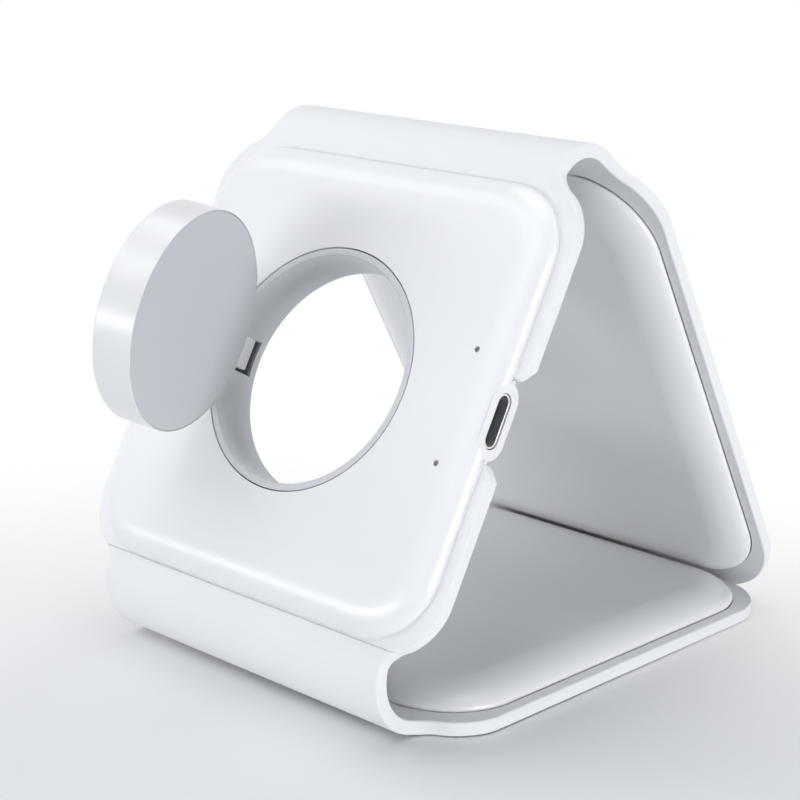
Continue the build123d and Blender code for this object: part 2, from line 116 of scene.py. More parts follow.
@dataclass(frozen=True)
class Moulded(Finish):
    """Moulded plastic or silicone with a faint cloudiness and a fine spark-eroded grain."""

    name: str
    colour: tuple[float, float, float]
    shade: tuple[float, float, float]
    rough: tuple[float, float]
    grain: float = 2600.0
    bump: float = 0.04
    cloud: float = 45.0
    specular: float = 0.45
    coat: float = 0.0
    sheen: float = 0.0

    def make(self) -> bpy.types.Material:
        """Build the node tree."""
        material, shader, add = self.start()
        links = material.node_tree.links
        place = add("ShaderNodeTexCoord").outputs["Object"]
        cloud = add("ShaderNodeTexNoise", Vector=place, Scale=self.cloud, Detail=3.0, Roughness=0.55)
        grain = add("ShaderNodeTexNoise", Vector=place, Scale=self.grain, Detail=2.0, Roughness=0.6)
        tint = add("ShaderNodeValToRGB", Fac=cloud.outputs["Fac"])
        low, high = tint.color_ramp.elements
        low.position, high.position = 0.15, 0.85
        low.color, high.color = (*self.shade, 1.0), (*self.colour, 1.0)
        rough = add("ShaderNodeMapRange", Value=cloud.outputs["Fac"])
        rough.inputs["From Min"].default_value = 0.15
        rough.inputs["From Max"].default_value = 0.85
        rough.inputs["To Min"].default_value, rough.inputs["To Max"].default_value = self.rough
        bump = add("ShaderNodeBump", Height=grain.outputs["Fac"], Strength=self.bump, Distance=0.00005)
        links.new(tint.outputs["Color"], shader.inputs["Base Color"])
        links.new(rough.outputs["Result"], shader.inputs["Roughness"])
        links.new(bump.outputs["Normal"], shader.inputs["Normal"])
        shader.inputs["Specular IOR Level"].default_value = self.specular
        shader.inputs["Coat Weight"].default_value = self.coat
        shader.inputs["Sheen Weight"].default_value = self.sheen
        return material


@dataclass(frozen=True)
class Metal(Finish):
    """Drawn or plated metal with fine lines along one axis."""

    name: str
    colour: tuple[float, float, float]
    shade: tuple[float, float, float]
    rough: tuple[float, float]
    stretch: tuple[float, float, float] = (300.0, 6000.0, 6000.0)
    bump: float = 0.05

    def make(self) -> bpy.types.Material:
        """Build the node tree."""
        material, shader, add = self.start()
        links = material.node_tree.links
        place = add("ShaderNodeTexCoord").outputs["Object"]
        lay = add("ShaderNodeMapping", Vector=place, Scale=self.stretch)
        lines = add("ShaderNodeTexNoise", Vector=lay.outputs["Vector"], Scale=1.0, Detail=4.0)
        tint = add("ShaderNodeValToRGB", Fac=lines.outputs["Fac"])
        low, high = tint.color_ramp.elements
        low.position, high.position = 0.25, 0.75
        low.color, high.color = (*self.shade, 1.0), (*self.colour, 1.0)
        rough = add("ShaderNodeMapRange", Value=lines.outputs["Fac"])
        rough.inputs["To Min"].default_value, rough.inputs["To Max"].default_value = self.rough
        bump = add("ShaderNodeBump", Height=lines.outputs["Fac"], Strength=self.bump, Distance=0.00003)
        links.new(tint.outputs["Color"], shader.inputs["Base Color"])
        links.new(rough.outputs["Result"], shader.inputs["Roughness"])
        links.new(bump.outputs["Normal"], shader.inputs["Normal"])
        shader.inputs["Metallic"].default_value = 1.0
        return material


SILICONE = Moulded("white_silicone", (0.89, 0.897, 0.908), (0.865, 0.874, 0.888), (0.5, 0.58), bump=0.06, specular=0.25)
PAD_PLASTIC = Moulded("satin_white_plastic", (0.87, 0.877, 0.888), (0.85, 0.858, 0.87), (0.28, 0.34), specular=0.75)
RING_PLASTIC = Moulded("pale_grey_plastic", (0.68, 0.695, 0.72), (0.65, 0.665, 0.69), (0.34, 0.42))
LID_PLASTIC = Moulded("matte_grey_plastic", (0.55, 0.563, 0.592), (0.535, 0.547, 0.575), (0.5, 0.6), bump=0.12)
PUCK_PLASTIC = Moulded("puck_white_plastic", (0.8, 0.806, 0.816), (0.78, 0.787, 0.798), (0.26, 0.32), specular=0.75)
BEZEL_PLASTIC = Moulded("gloss_white_plastic", (0.88, 0.885, 0.892), (0.865, 0.87, 0.88), (0.2, 0.26), coat=0.2)
# Painted shade: the grey of the hinge slot's thin lining, which darkens the recess.
POCKET_SHADE_PLASTIC = Moulded("grey_plastic", (0.3, 0.306, 0.318), (0.27, 0.275, 0.286), (0.45, 0.55))
DARK_PLASTIC = Moulded("black_plastic", (0.03, 0.03, 0.033), (0.02, 0.02, 0.022), (0.4, 0.5))
TRAY_PLASTIC = Moulded("tray_black_plastic", (0.05, 0.05, 0.053), (0.035, 0.035, 0.038), (0.5, 0.6))
BOARD_MASK = Moulded("green_solder_mask", (0.03, 0.16, 0.07), (0.02, 0.12, 0.05), (0.3, 0.4), cloud=300.0)
FERRITE = Moulded("dark_ferrite", (0.06, 0.06, 0.065), (0.04, 0.04, 0.045), (0.45, 0.6), cloud=500.0)
LIGHT_PIPE = Moulded("smoked_light_pipe", (0.34, 0.35, 0.37), (0.3, 0.31, 0.33), (0.15, 0.2), coat=0.4)
STEEL = Metal("plated_steel", (0.62, 0.62, 0.64), (0.5, 0.5, 0.52), (0.25, 0.4))
PORT_STEEL = Metal("drawn_steel", (0.86, 0.87, 0.885), (0.76, 0.77, 0.785), (0.3, 0.4))
COPPER = Metal("copper_winding", (0.75, 0.36, 0.18), (0.55, 0.24, 0.1), (0.3, 0.45), (4000.0, 4000.0, 4000.0))
GOLD = Metal("gold_contact", (0.83, 0.63, 0.28), (0.75, 0.55, 0.22), (0.2, 0.3))

NODE_FINISH: dict[str, Finish] = {
    "base_tray": TRAY_PLASTIC,
    "base_ferrite": FERRITE,
    "base_coil": COPPER,
    "rear_tray": TRAY_PLASTIC,
    "rear_ferrite": FERRITE,
    "rear_coil": COPPER,
    "rear_magnets": STEEL,
    "hinge_pin": STEEL,
    "main_board": BOARD_MASK,
    "board_chips": DARK_PLASTIC,
    "light_pipes": LIGHT_PIPE,
    "puck_coil": COPPER,
    "puck_ferrite": FERRITE,
    "puck_magnet": STEEL,
}


# Places and shapes


@dataclass(frozen=True)
class Seat:
    """A flat place to draw on, in millimetres: x across, y along, z off its face."""

    origin: Vector
    across: Vector
    along: Vector
    out: Vector

    def matrix(self) -> Matrix:
        """Place local millimetres in the row frame, in metres."""
        turn = Matrix((self.across, self.along, self.out)).transposed().to_4x4()
        return Matrix.Translation(self.origin * MM) @ turn @ Matrix.Scale(MM, 4)

    def moved(self, x: float = 0.0, y: float = 0.0, z: float = 0.0) -> "Seat":
        """The same seat, shifted by its own axes."""
        shift = self.across * x + self.along * y + self.out * z
        return Seat(self.origin + shift, self.across, self.along, self.out)

    def flipped(self) -> "Seat":
        """The same place seen from behind: across and out turn round."""
        return Seat(self.origin, -self.across, self.along, -self.out)


@dataclass(frozen=True)
class Corner:
    """A corner of an outline, and how far along its sides the rounding starts."""

    x: float
    y: float
    cut: float = 0.0
    steps: int = 14


class Shape:
    """A mesh under way, in millimetres on its seat."""

    def __init__(self) -> None:
        """Start with an empty mesh."""
        self.mesh = bmesh.new()

    def outline(self, corners: Sequence[Corner]) -> bmesh.types.BMFace:
        """Draw one flat face with rounded corners.

        Args:
            corners: The corners in order, each with its rounding.

        Returns:
            The face.
        """
        spots = [self.mesh.verts.new((corner.x, corner.y, 0.0)) for corner in corners]
        self.mesh.faces.new(spots)
        for cut, steps in sorted({(corner.cut, corner.steps) for corner in corners if corner.cut}):
            chosen = [v for v, corner in zip(spots, corners) if (corner.cut, corner.steps) == (cut, steps)]
            bmesh.ops.bevel(
                self.mesh, geom=chosen, offset=cut, offset_type="OFFSET", segments=steps, profile=0.5,
                affect="VERTICES", material=-1, clamp_overlap=False,
            )
        self.mesh.faces.ensure_lookup_table()
        return self.mesh.faces[0]

    def plate(self, width: float, length: float, radius: float, steps: int = 14) -> bmesh.types.BMFace:
        """Draw a rounded rectangle about the seat's origin."""
        half_x, half_y = width / 2, length / 2
        signs = ((1, 1), (-1, 1), (-1, -1), (1, -1))
        return self.outline([Corner(sx * half_x, sy * half_y, radius, steps) for sx, sy in signs])

    def raise_face(self, face: bmesh.types.BMFace, amount: float) -> bmesh.types.BMFace:
        """Extrude a face straight up and return the new end face."""
        made = bmesh.ops.extrude_face_region(self.mesh, geom=[face])["geom"]
        top = next(item for item in made if isinstance(item, bmesh.types.BMFace))
        bmesh.ops.translate(self.mesh, verts=top.verts, vec=(0.0, 0.0, amount))
        return top

    def step_in(self, face: bmesh.types.BMFace, inward: float, up: float) -> bmesh.types.BMFace:
        """Inset a face and lift it, and return it."""
        bmesh.ops.inset_region(self.mesh, faces=[face], thickness=inward, use_even_offset=True)
        bmesh.ops.translate(self.mesh, verts=face.verts, vec=(0.0, 0.0, up))
        return face

    def round_edges(self, edges: Iterable[bmesh.types.BMEdge], offset: float, steps: int) -> None:
        """Bevel edges to a round of the given start distance."""
        bmesh.ops.bevel(
            self.mesh, geom=list(edges), offset=offset, offset_type="OFFSET", segments=steps, profile=0.5,
            affect="EDGES", material=-1, clamp_overlap=True,
        )

    def lathe(self, profile: Sequence[tuple[float, float]], closed: bool = False, steps: int = 128) -> None:
        """Spin a profile of (radius, height) points round the seat's z axis."""
        spots = [self.mesh.verts.new((radius, 0.0, height)) for radius, height in profile]
        ends = spots[1:] + spots[:1] if closed else spots[1:]
        edges = [self.mesh.edges.new(pair) for pair in zip(spots, ends)]
        bmesh.ops.spin(
            self.mesh, geom=spots + edges, cent=(0, 0, 0), axis=(0, 0, 1), dvec=(0, 0, 0),
            angle=2 * math.pi, steps=steps, use_merge=True, use_duplicate=False,
        )
        bmesh.ops.remove_doubles(self.mesh, verts=self.mesh.verts, dist=NEAR)

    def drum(self, radius: float, low: float, high: float, steps: int = 128) -> None:
        """Make a closed cylinder on the seat's z axis."""
        bmesh.ops.create_cone(
            self.mesh, cap_ends=True, segments=steps, radius1=radius, radius2=radius, depth=high - low,
            matrix=Matrix.Translation((0, 0, (low + high) / 2)),
        )

    def block(self, low: Sequence[float], high: Sequence[float], edge: float = 0.0) -> None:
        """Make a box between two corners, with rounded edges if wanted."""
        middle = [(a + b) / 2 for a, b in zip(low, high)]
        size = [b - a for a, b in zip(low, high)]
        place = Matrix.Translation(middle) @ Matrix.Diagonal((*size, 1.0))
        made = bmesh.ops.create_cube(self.mesh, size=1.0, matrix=place)["verts"]
        if edge:
            self.round_edges({e for v in made for e in v.link_edges}, edge, 3)

    def finish(self, name: str, place: Matrix) -> bpy.types.Object:
        """Turn the mesh into an object at the origin, with its place in its mesh.

        Args:
            name: Name of the piece.
            place: Matrix from local millimetres to the row frame.

        Returns:
            The object, linked to the scene.
        """
        bmesh.ops.recalc_face_normals(self.mesh, faces=self.mesh.faces)
        bmesh.ops.transform(self.mesh, matrix=place, verts=self.mesh.verts)
        for face in self.mesh.faces:
            face.smooth = True
        data = bpy.data.meshes.new(name)
        self.mesh.to_mesh(data)
        self.mesh.free()
        piece = bpy.data.objects.new(name, data)
        bpy.context.scene.collection.objects.link(piece)
        return piece


def combine(piece: bpy.types.Object, tools: Sequence[bpy.types.Object], cut: Cut) -> bpy.types.Object:
    """Cut tool shapes out of a piece or join them to it, and remove the tools.

    Args:
        piece: The piece to change.
        tools: Closed shapes to use up.
        cut: What to do with them.

    Returns:
        The piece, with its new mesh.
    """
    for tool in tools:
        change = piece.modifiers.new("combine", "BOOLEAN")
        change.object, change.operation, change.solver = tool, cut.value, "EXACT"
    bpy.context.view_layer.update()
    made = bpy.data.meshes.new_from_object(piece.evaluated_get(bpy.context.evaluated_depsgraph_get()))
    piece.modifiers.clear()
    old, piece.data = piece.data, made
    made.name = piece.name
    bpy.data.meshes.remove(old)
    for tool in tools:
        bpy.data.meshes.remove(tool.data)
    return piece


def soften(piece: bpy.types.Object, wanted: Callable[[bmesh.types.BMEdge], bool], offset: float, steps: int) -> None:
    """Round the chosen sharp edges of a finished piece.

    Args:
        piece: The piece to change.
        wanted: Says which sharp edges are rounded.
        offset: Start of the rounding, in millimetres.
        steps: Segments of the rounding.
    """
    mesh = bmesh.new()
    mesh.from_mesh(piece.data)
    bmesh.ops.remove_doubles(mesh, verts=mesh.verts, dist=NEAR * MM)
    edges = [e for e in mesh.edges if e.is_manifold and e.calc_face_angle(0.0) > math.radians(SHARP) and wanted(e)]
    bmesh.ops.bevel(
        mesh, geom=edges, offset=offset * MM, offset_type="OFFSET", segments=steps, profile=0.5,
        affect="EDGES", material=-1, clamp_overlap=True,
    )
    for face in mesh.faces:
        face.smooth = True
    mesh.to_mesh(piece.data)
    mesh.free()


def dress(piece: bpy.types.Object, finish: Finish, slot: str, *nodes: str, body: Body | None = None) -> None:
    """Give a piece its finish, hide the CAD nodes it stands for and attach it to its body.

    Args:
        piece: The finished piece.
        finish: Its finish.
        slot: Not used.
        nodes: CAD nodes that it stands for.
        body: Body that carries it, or None for the two bends, which no body carries.
    """
    piece.data.materials.clear()
    piece.data.materials.append(finish.material())
    piece.data.set_sharp_from_angle(angle=math.radians(SHARP))
    even = piece.modifiers.new("even_normals", "WEIGHTED_NORMAL")
    even.keep_sharp = True
    even.weight = 80
    if nodes:
        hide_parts(*nodes)
    if body:
        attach(piece, body.value)
    LOG.info("piece %s, %d faces", piece.name, len(piece.data.polygons))


# Sub-assemblies


@dataclass
class Folds:
    """Where the three panels and two folds of the skin lie, in millimetres."""

    base_length: float = 94.5712
    front_length: float = 78.4
    front_tilt: float = math.radians(63.2)
    rear_tilt: float = math.radians(56.7)
    lower_radius: float = 11.1
    upper_radius: float = 9.7
    thickness: float = 2.4
    floor_gap: float = 0.2

    def __post_init__(self) -> None:
        """Work out the seats of the panels."""
        side = Vector((1, 0, 0))
        fold_y = -self.base_length / 2
        tilt, fall = self.front_tilt, self.rear_tilt
        front_along = Vector((0, math.cos(tilt), math.sin(tilt)))
        front_out = Vector((0, -math.sin(tilt), math.cos(tilt)))
        rear_along = Vector((0, math.cos(fall), -math.sin(fall)))
        rear_out = Vector((0, math.sin(fall), math.cos(fall)))
        self.lower_axis = Vector((0, fold_y, self.lower_radius))
        foot = self.lower_axis + front_out * self.lower_radius
        self.upper_axis = foot + front_along * self.front_length - front_out * self.upper_radius
        self.base = Seat(Vector((0, fold_y, 0)), side, Vector((0, 1, 0)), Vector((0, 0, 1)))
        self.front = Seat(foot, side, front_along, front_out)
        self.rear = Seat(self.upper_axis + rear_out * self.upper_radius, side, rear_along, rear_out)
        self.base_inside = self.base.moved(z=self.thickness)
        self.rear_inside = self.rear.moved(z=-self.thickness).flipped()
        self.lower_run = self.lower_radius * (math.pi - tilt)
        self.upper_run = self.upper_radius * (tilt + fall)
        drop = self.rear_inside.origin.z - self.thickness
        self.wedge_run = drop / math.sin(fall)
        self.wedge_from_fold = self.rear_inside.origin.y + self.wedge_run * math.cos(fall) - fold_y
        self.rear_length = (self.rear_inside.origin.z - self.floor_gap) / math.sin(fall)
        self.front_start = self.base_length + self.lower_run
        self.front_stop = self.front_start + self.front_length
        self.rear_start = self.front_stop + self.upper_run
        self.end = self.rear_start + self.rear_length

    def roll(self, spot: Vector) -> Vector:
        """Take a point of the flat strip (x, run from the base's free end, height) to its folded place."""
        x, run, height = spot
        if run <= self.base_length:
            return Vector((x, self.base.origin.y + self.base_length - run, -height))
        if run < self.front_start:
            turn = (run - self.base_length) / self.lower_radius
            reach = self.lower_radius + height
            return self.lower_axis + Vector((x, -reach * math.sin(turn), -reach * math.cos(turn)))
        if run <= self.front_stop:
            seat, local = self.front, run - self.front_start
        elif run < self.rear_start:
            turn = (run - self.front_stop) / self.upper_radius - self.front_tilt
            reach = self.upper_radius + height
            return self.upper_axis + Vector((x, reach * math.sin(turn), reach * math.cos(turn)))
        else:
            seat, local = self.rear, run - self.rear_start
        return seat.origin + Vector((x, 0, 0)) + seat.along * local + seat.out * height


@dataclass
class Skin:
    """One soft strip with three panels and two narrow folds."""

    folds: Folds
    width: float = 80.0
    waist: float = 64.4
    base_corner: float = 13.0
    rear_corner: float = 17.0
    shoulder_y: float = 3.875
    shoulder_cut: float = 5.86
    neck_y: float = -0.396
    neck_cut: float = 2.93
    rim: float = 0.35
    seam: float = 1.0
    crease: float = 0.55
    crease_depth: float = 0.3
    crease_width: float = 0.3
    bend_cuts: int = 40
    bed_gap: float = 0.1
    bed_depth: float = 0.3
    window: tuple[float, float, float] = (59.5, 59.8, 6.0)
    pad_middle: float = 38.8
    hole_middle: float = 39.2
    notch_mouth: float = 18.6
    notch_throat: float = 13.9
    notch_depth: float = 2.25

    def strip(self) -> Shape:
        """Make the whole strip flat, with a soft rim.

        Returns:
            The strip: x across, y along from the base's free end, outer face at z 0.
        """
        folds, half, slim = self.folds, self.width / 2, self.waist / 2
        ends = ((folds.base_length, folds.front_start), (folds.front_stop, folds.rear_start))
        side = [Corner(half, 0.0, self.base_corner, 18)]
        for low, high in ends:
            side += [
                Corner(half, low - self.shoulder_y, self.shoulder_cut),
                Corner(slim, low - self.neck_y, self.neck_cut),
                Corner(slim, high + self.neck_y, self.neck_cut),
                Corner(half, high + self.shoulder_y, self.shoulder_cut),
            ]
        side.append(Corner(half, folds.end, self.rear_corner, 18))
        other = [Corner(-c.x, c.y, c.cut, c.steps) for c in reversed(side)]
        shape = Shape()
        face = shape.outline(side + other)
        shape.raise_face(face, -folds.thickness)
        shape.mesh.normal_update()
        rims = [e for e in shape.mesh.edges if abs(e.verts[0].co.z - e.verts[1].co.z) < NEAR]
        shape.round_edges(rims, self.rim, 4)
        return shape

    def cut_runs(self) -> list[float]:
        """Runs along the strip where its bends are divided."""
        folds, runs = self.folds, []
        for low, high in ((folds.base_length, folds.front_start), (folds.front_stop, folds.rear_start)):
            step = (high - low) / self.bend_cuts
            runs += [low - self.seam, high + self.seam]
            runs += [low + step * place for place in range(self.bend_cuts + 1)]
        return runs

    def build(self, beds: Sequence["Bed"]) -> None:
        """Cut the strip into its panels and bends, fold them, sink the beds and dress them.

        Args:
            beds: Where the pads lie on the panels.
        """
        folds = self.folds
        whole = self.strip()
        line = folds.front_start + self.crease
        marks = [line - self.crease_width / 2, line, line + self.crease_width / 2]
        for run in self.cut_runs() + marks:
            bmesh.ops.bisect_plane(
                whole.mesh, geom=whole.mesh.verts[:] + whole.mesh.edges[:] + whole.mesh.faces[:],
                dist=NEAR / 10, plane_co=(0, run, 0), plane_no=(0, 1, 0),
            )
        for spot in whole.mesh.verts:
            if abs(spot.co.y - line) < NEAR and spot.co.z > -self.rim:
                spot.co.z -= self.crease_depth
        lows = (-1.0, folds.base_length - self.seam, folds.front_start + self.seam,
                folds.front_stop - self.seam, folds.rear_start + self.seam)
        highs = (*lows[1:], folds.end + 1.0)
        names = ("base", "lower_bend", "front", "upper_bend", "rear")
        pieces = {name: self.part(whole, f"silicone_{name}", low, high) for name, low, high in zip(names, lows, highs)}
        whole.mesh.free()
        for bed in beds:
            combine(pieces[bed.panel], [bed.tool(self.bed_gap, self.bed_depth)], Cut.REMOVE)
        self.open_front(pieces["front"])
        dress(pieces["base"], SILICONE, "skin", "skin_base", body=Body.BASE)
        dress(pieces["front"], SILICONE, "skin", "skin_front", body=Body.FRONT)
        dress(pieces["rear"], SILICONE, "skin", "skin_rear", body=Body.REAR)
        dress(pieces["lower_bend"], SILICONE, "skin", "lower_bend")
        dress(pieces["upper_bend"], SILICONE, "skin", "upper_bend")
        self.bend(pieces["lower_bend"], folds.base_length, folds.front_start)
        self.bend(pieces["upper_bend"], folds.front_stop, folds.rear_start)

    def part(self, whole: Shape, name: str, low: float, high: float) -> bpy.types.Object:
        """Copy one length of the strip and fold it into place.

        Args:
            whole: The flat strip.
            name: Name of the piece.
            low: Run where it starts.
            high: Run where it stops.

        Returns:
            The piece.
        """
        shape = Shape()
        shape.mesh.free()
        shape.mesh = whole.mesh.copy()
        gone = [f for f in shape.mesh.faces if not low < f.calc_center_median().y < high]
        bmesh.ops.delete(shape.mesh, geom=gone, context="FACES")
        for spot in shape.mesh.verts:
            spot.co = self.folds.roll(spot.co)
        return shape.finish(name, Matrix.Scale(MM, 4))

    def open_front(self, piece: bpy.types.Object) -> None:
        """Cut the module's window and the port's notch out of the front panel."""
        seat = self.folds.front
        deep = self.folds.thickness * 2
        window = Shape()
        window.raise_face(window.plate(*self.window), deep)
        middle = seat.moved(y=self.pad_middle, z=-deep * 0.75)
        notch = Shape()
        half, throat, mouth = self.width / 2, self.notch_throat / 2, self.notch_mouth / 2
        inner = half - self.notch_depth
        reach = half + self.notch_depth
        slope = (mouth - throat) / self.notch_depth
        flare = mouth + slope * self.notch_depth
        notch.raise_face(
            notch.outline([
                Corner(self.window[0] / 2 - 1.0, -throat), Corner(inner, -throat, 0.6), Corner(reach, -flare),
                Corner(reach, flare), Corner(inner, throat, 0.6), Corner(self.window[0] / 2 - 1.0, throat),
            ]),
            deep,
        )
        tools = [
            window.finish("window_tool", middle.matrix()),
            notch.finish("notch_tool", seat.moved(y=self.hole_middle, z=-deep * 0.75).matrix()),
        ]
        combine(piece, tools, Cut.REMOVE)

    def bend(self, piece: bpy.types.Object, low: float, high: float) -> None:
        """Bake a fold's place into its mesh; the fold was already rolled into shape when it was cut out, and the ends
        worked out here are not used.

        Args:
            piece: The fold.
            low: Run where the fold starts.
            high: Run where the fold stops.
        """
        start, end = (self.folds.roll(Vector((0, run, 0))) for run in (low, high))
        inner = self.folds.roll(Vector((0, low, -self.folds.thickness)))
        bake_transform(piece)


@dataclass
class Pillow:
    """Sizes of a pad: a fine shadow gap at its foot, a shoulder between an ellipse (1) and a slope (2), a flat roof."""

    width: float
    length: float
    corner: float
    height: float
    run: float
    gap: tuple[float, float] = (0.25, 0.3)
    wall: float = 0.15
    sunk: float = 0.28
    slope: float = 1.0
    steps: int = 18

    def shape(self) -> Shape:
        """Make the pad about its middle, standing on the seat."""
        shape = Shape()
        depth, lift = self.gap
        foot = shape.plate(self.width, self.length, self.corner, 20)
        bmesh.ops.translate(shape.mesh, verts=shape.mesh.verts, vec=(0.0, 0.0, lift))
        face = shape.raise_face(foot, self.wall)
        bottom = min(shape.mesh.faces, key=lambda side: side.calc_center_median().z)
        shape.step_in(bottom, depth, -lift - self.sunk)
        rise = self.height - self.wall - lift
        turns = [math.pi / 2 * place / self.steps for place in range(self.steps + 1)]
        spots = [(1 - max(math.cos(turn), 0.0) ** self.slope, math.sin(turn) ** self.slope) for turn in turns]
        for low, high in zip(spots, spots[1:]):
            face = shape.step_in(face, self.run * (high[0] - low[0]), rise * (high[1] - low[1]))
        return shape


@dataclass
class Bed:
    """Where a pad lies on a panel of the skin."""

    panel: str
    seat: Seat
    pad: Pillow

    def tool(self, gap: float, depth: float) -> bpy.types.Object:
        """Make the plate that sinks the bed into the skin, a little larger than the pad.

        Args:
            gap: Room round the pad.
            depth: How deep the bed is.

        Returns:
            The plate.
        """
        shape = Shape()
        pad = self.pad
        shape.raise_face(shape.plate(pad.width + 2 * gap, pad.length + 2 * gap, pad.corner + gap, 20), 2 * depth)
        return shape.finish("bed_tool", self.seat.moved(z=-depth).matrix())


@dataclass
class EndPads:
    """The two pads at the ends of the skin."""

    folds: Folds
    width: float = 75.5
    corner: float = 14.0
    inset: float = 0.9
    wedge_room: float = 3.0
    height: float = 3.6
    run: float = 7.0
    slope: float = 1.18

    def __post_init__(self) -> None:
        """Work out where the pads lie."""
        folds = self.folds
        self.beds = []
        for panel, seat, run in (
            ("base", folds.base_inside, folds.wedge_from_fold), ("rear", folds.rear_inside, folds.wedge_run)
        ):
            length = run - self.wedge_room - self.inset
            pad = Pillow(self.width, length, self.corner, self.height, self.run, slope=self.slope)
            self.beds.append(Bed(panel, seat.moved(y=self.inset + length / 2), pad))

    def build(self) -> None:
        """Build and dress both pads."""
        for bed, body in zip(self.beds, (Body.BASE, Body.REAR)):
            piece = bed.pad.shape().finish(f"{bed.panel}_pad", bed.seat.matrix())
            dress(piece, PAD_PLASTIC, "pad", f"{bed.panel}_cover", body=body)


@dataclass
class Module:
    """The middle module: two covers, the ring that lines the hole, the port and the screws."""

    folds: Folds
    front_pad: Pillow = field(default_factory=lambda: Pillow(75.5, 75.8, 12.0, 3.6, 5.4))
    back_pad: Pillow = field(default_factory=lambda: Pillow(72.0, 72.0, 12.0, 3.1, 5.0, sunk=0.0))
    pad_middle: float = 38.8
    hole_middle: float = 39.2
    back_face: float = -5.5
    back_floor: float = -4.5
    ring_inner: float = 19.76
    ring_outer: float = 20.96
    hole_radius: float = 21.16
    ring_front: float = 3.5
    ring_edge: float = 0.15
    ring_groove: tuple[float, float] = (0.4, 0.2)
    flange: tuple[float, float, float] = (23.36, 1.3, 2.5)
    slot_half: float = 3.15
    slot_outer: float = 23.79
    slot_floor: float = -3.98
    hinge_wall: float = 1.5
    pocket_wall: float = 0.12
    hinge_out: float = 21.84
    hinge_height: float = 1.31
    pipe_out: float = 32.0
    pipe_spacing: float = 18.7
    pipe_hole: float = 0.5
    port_height: float = -1.35
    bezel_face: float = 36.85
    bezel: tuple[float, float, float] = (12.9, 6.8, 4.6)
    shell: tuple[float, float, float] = (8.94, 3.2, 7.3)
    shell_wall: float = 0.3
    shell_setback: float = 0.25
    gap: float = 0.15
    screw_spread: tuple[float, float] = (25.15, 25.3)
    screw_head: tuple[float, float] = (1.6, 0.9)

    def __post_init__(self) -> None:
        """Work out the seats."""
        self.centre = self.folds.front.moved(y=self.pad_middle)
        self.bed = Bed("front", self.centre, self.front_pad)
        self.hole = self.folds.front.moved(y=self.hole_middle)
        axis = self.hole.moved(x=self.bezel_face, z=self.port_height)
        self.port = Seat(axis.origin, self.hole.along, self.hole.out, self.hole.across)

    def build(self) -> None:
        """Build and dress every piece of the module."""
        self.build_covers()
        self.build_ring()
        self.build_port()
        self.build_screws()

    def hole_tool(self) -> bpy.types.Object:
        """Make the round tool that opens a cover for the ring."""
        tool = Shape()
        tool.drum(self.hole_radius, self.back_face - 5.0, self.front_pad.height + 5.0, 160)
        return tool.finish("hole_tool", self.hole.matrix())

    def slot_tool(self) -> bpy.types.Object:
        """Make the tool that opens the hinge slot."""
        tool = Shape()
        tool.block(
            (-self.slot_outer, -self.slot_half, self.slot_floor),
            (-self.ring_inner + 1.0, self.slot_half, self.front_pad.height + 5.0),
        )
        return tool.finish("slot_tool", self.hole.matrix())

    def hinge_block(self, room: float = 0.0) -> bpy.types.Object:
        """Make the block behind the ring that holds the hinge, with some room round it."""
        block = Shape()
        outer, reach = self.slot_outer + self.hinge_wall + room, self.slot_half + self.hinge_wall + room
        block.block((-outer, -reach, self.back_floor - room), (-self.ring_inner - 0.3, reach, self.flange[2] - 0.05))
        return block.finish("hinge_block_tool", self.hole.matrix())

    def bezel_tool(self) -> bpy.types.Object:
        """Make the tool that opens the covers for the bezel."""
        length, width, depth = self.bezel
        return self.stadium("bezel_tool", length + 2 * self.gap, width + 2 * self.gap, -depth - self.gap, 5.0)

    def stadium(self, name: str, length: float, width: float, low: float, high: float) -> bpy.types.Object:
        """Make a round-ended bar along the port's axis.

        Args:
            name: Name of the piece.
            length: Overall length, up the slope.
            width: Overall width.
            low: Where it starts, along the port's axis.
            high: Where it stops.

        Returns:
            The bar.
        """
        shape = Shape()
        shape.raise_face(shape.plate(length, width, width * 0.4995, 16), high - low)
        return shape.finish(name, self.port.moved(z=low).matrix())

    def round_hole(self, edge: bmesh.types.BMEdge, height: float) -> bool:
        """True for an edge of the round hole that lies at a height off the panel."""
        turn = self.hole.matrix().inverted()
        spots = [turn @ spot.co for spot in edge.verts]
        return all(abs(s.z - height) < 0.01 and abs(s.xy.length - self.hole_radius) < 0.05 for s in spots)

    def build_covers(self) -> None:
        """Build the front and back covers, with their openings."""
        front = self.front_pad.shape().finish("front_pad", self.centre.matrix())
        pipes = []
        for side in (-1, 1):
            pipe = Shape()
            pipe.drum(self.pipe_hole, 1.0, self.front_pad.height + 2.0, 32)
            spot = self.hole.moved(x=self.pipe_out, y=side * self.pipe_spacing / 2)
            pipes.append(pipe.finish("pipe_tool", spot.matrix()))
        combine(front, [self.hole_tool(), self.bezel_tool(), *pipes], Cut.REMOVE)
        soften(front, lambda edge: self.round_hole(edge, self.front_pad.height), 0.12, 3)
        combine(front, [self.slot_tool()], Cut.REMOVE)
        dress(front, PAD_PLASTIC, "pad", "front_cover", body=Body.FRONT)

        inside = self.centre.moved(z=-self.folds.thickness).flipped()
        back = self.back_pad.shape().finish("back_pad", inside.matrix())
        wells = []
        radius, height = self.screw_head
        for spot in self.screw_seats():
            well = Shape()
            well.drum(radius + self.gap, -2.0, height, 40)
            wells.append(well.finish("well_tool", spot.matrix()))
        combine(back, [self.hole_tool(), self.bezel_tool(), *wells], Cut.REMOVE)
        soften(back, lambda edge: self.round_hole(edge, self.back_face), 0.3, 4)
        combine(back, [self.hinge_block(self.gap)], Cut.REMOVE)
        dress(back, PAD_PLASTIC, "back", "back_cover", body=Body.FRONT)

    def screw_seats(self) -> list[Seat]:
        """Seats of the four screws, on the back face and pointing in."""
        out, up = self.screw_spread
        return [self.centre.moved(x=x, y=y, z=self.back_face) for x in (-out, out) for y in (-up, up)]

